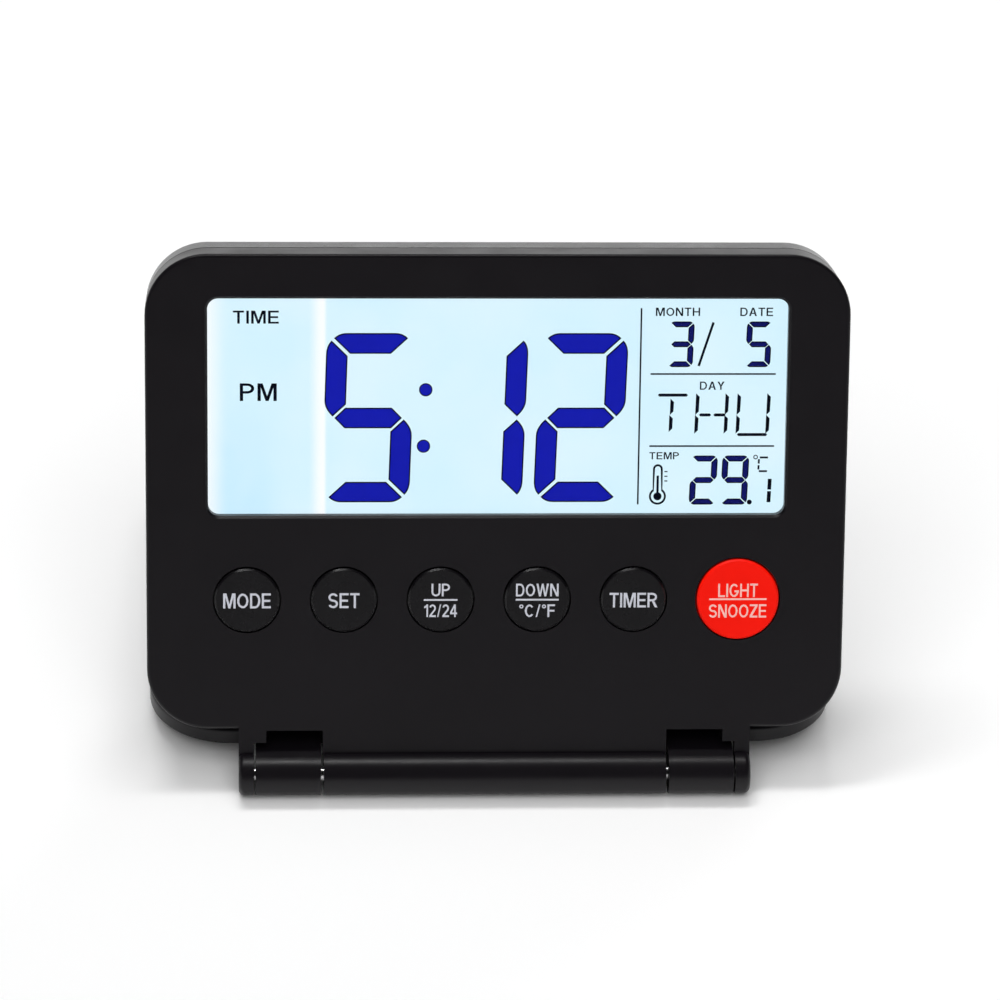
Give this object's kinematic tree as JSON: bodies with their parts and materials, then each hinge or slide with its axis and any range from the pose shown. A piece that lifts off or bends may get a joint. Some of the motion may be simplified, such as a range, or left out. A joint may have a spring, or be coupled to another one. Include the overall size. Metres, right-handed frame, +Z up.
{
  "type": "travel alarm clock",
  "caption": "Folding travel alarm clock: lit display unit with a row of push buttons, leaning on a flip lid that swings behind it as a stand.",
  "frame": {"origin": "centre of the footprint, on the surface that the opened clock stands on", "axes": "+Z up, -Y towards the viewer, X along the hinge"},
  "size_m": [0.102, 0.0806, 0.0734],
  "materials": {
    "black_shell": "fine matte texture",
    "window": "clear polished plastic",
    "polariser": "clear film",
    "lcd_glass": "polished",
    "light_guide": "polished",
    "white_sheet": "matte",
    "frame_plastic": "matte",
    "ribbon_film": "satin",
    "board": "satin solder mask",
    "chip_resin": "gloss",
    "steel": "polished",
    "ceramic": "matte",
    "brass": "satin",
    "black_button": "satin",
    "red_button": "satin",
    "white_plastic": "satin",
    "pad_rubber": "matte"
  },
  "bodies": {
    "clock": {"front_case": "black_shell", "rear_case": "black_shell", "display_lens": "window", "lcd_front_polariser": "polariser", "lcd_front_glass": "lcd_glass", "lcd_rear_glass": "lcd_glass", "lcd_rear_polariser": "polariser", "light_guide": "light_guide", "reflector_sheet": "white_sheet", "backlight_led": "white_plastic", "display_frame": "frame_plastic", "lcd_ribbon": "ribbon_film", "main_board": "board", "controller_chip": "chip_resin", "quartz_crystal": "steel", "thermistor": "chip_resin", "board_components": "ceramic", "switch_bodies": "steel", "coin_cell": "steel", "minus_contact": "brass", "plus_contact": "brass", "buzzer_disc": "brass", "buzzer_element": "ceramic", "buzzer_springs": "steel", "case_screws": "steel", "board_screws": "steel", "frame_screws": "steel", "hinge_pin_left": "steel", "hinge_pin_right": "steel"},
    "mode_button": {"mode_button": "black_button", "mode_plunger": "white_plastic"},
    "set_button": {"set_button": "black_button", "set_plunger": "white_plastic"},
    "up_button": {"up_button": "black_button", "up_plunger": "white_plastic"},
    "down_button": {"down_button": "black_button", "down_plunger": "white_plastic"},
    "timer_button": {"timer_button": "black_button", "timer_plunger": "white_plastic"},
    "snooze_button": {"snooze_button": "red_button", "snooze_plunger": "white_plastic"},
    "battery_door": {"battery_door": "black_shell"},
    "lid": {"lid": "black_shell", "lid_pads": "pad_rubber"}
  },
  "joints": [
    {"name": "lid_hinge", "type": "hinge", "parent": "clock", "child": "lid", "pos_m": [0, -0.03723, 0.00308], "axis": [-1, 0, 0], "range_deg": [0, 292]},
    {"name": "battery_door_tilt", "type": "hinge", "parent": "clock", "child": "battery_door", "pos_m": [0.012, -0.01212, 0.03045], "axis": [1, 0, 0], "range_deg": [0, 30]},
    {"name": "mode_press", "type": "slide", "parent": "clock", "child": "mode_button", "axis": [0, 0.9088, -0.4171], "range_m": [0, 0.0004], "stiffness_N_per_m": 1500},
    {"name": "set_press", "type": "slide", "parent": "clock", "child": "set_button", "axis": [0, 0.9088, -0.4171], "range_m": [0, 0.0004], "stiffness_N_per_m": 1500},
    {"name": "up_press", "type": "slide", "parent": "clock", "child": "up_button", "axis": [0, 0.9088, -0.4171], "range_m": [0, 0.0004], "stiffness_N_per_m": 1500},
    {"name": "down_press", "type": "slide", "parent": "clock", "child": "down_button", "axis": [0, 0.9088, -0.4171], "range_m": [0, 0.0004], "stiffness_N_per_m": 1500},
    {"name": "timer_press", "type": "slide", "parent": "clock", "child": "timer_button", "axis": [0, 0.9088, -0.4171], "range_m": [0, 0.0004], "stiffness_N_per_m": 1500},
    {"name": "snooze_press", "type": "slide", "parent": "clock", "child": "snooze_button", "axis": [0, 0.9088, -0.4171], "range_m": [0, 0.0004], "stiffness_N_per_m": 1500}
  ]
}
